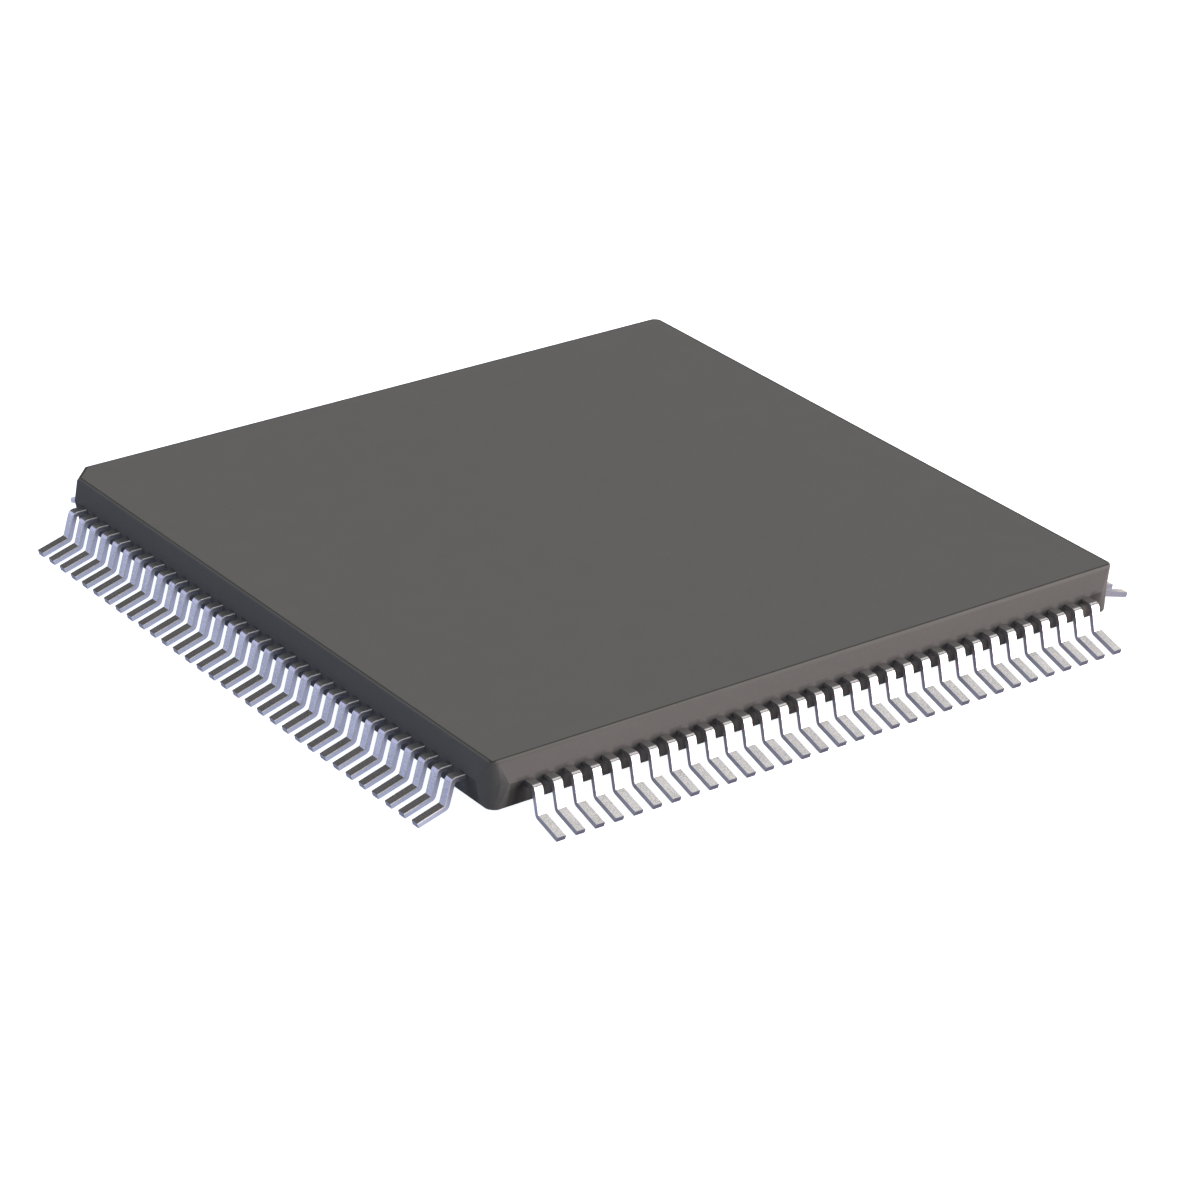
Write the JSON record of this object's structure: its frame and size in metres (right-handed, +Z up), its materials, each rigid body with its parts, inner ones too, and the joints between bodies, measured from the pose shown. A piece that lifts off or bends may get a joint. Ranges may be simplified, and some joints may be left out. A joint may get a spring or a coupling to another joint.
{
  "type": "quad flat pack chip",
  "caption": "Thin square moulded chip package with gull-wing leads in rows along every side and a small chamfer at the pin 1 corner.",
  "frame": {"origin": "centre of the seating plane that the toes of the leads touch", "axes": "+Z up, out of the package's top; the chamfered pin 1 corner is at -X +Y and the pins run counter-clockwise from it seen from above, starting down the -X side"},
  "size_m": [0.016, 0.016, 0.0012],
  "materials": {
    "mould_compound": "fine matt moulding texture, dark grey",
    "tin_plated_lead": "satin matt tin plating",
    "copper_alloy": "bare rolled copper alloy",
    "silver_epoxy": "cured silver-filled epoxy",
    "silicon": "polished"
  },
  "bodies": {
    "root": {"package_body": "mould_compound", "die_pad": "copper_alloy", "die_attach": "silver_epoxy", "silicon_die": "silicon", "leads_001_008": "tin_plated_lead", "leads_009_016": "tin_plated_lead", "leads_017_024": "tin_plated_lead", "leads_025_032": "tin_plated_lead", "leads_033_040": "tin_plated_lead", "leads_041_048": "tin_plated_lead", "leads_049_056": "tin_plated_lead", "leads_057_064": "tin_plated_lead", "leads_065_072": "tin_plated_lead", "leads_073_080": "tin_plated_lead", "leads_081_088": "tin_plated_lead", "leads_089_096": "tin_plated_lead", "leads_097_104": "tin_plated_lead", "leads_105_112": "tin_plated_lead", "leads_113_120": "tin_plated_lead", "leads_121_128": "tin_plated_lead"}
  },
  "joints": []
}
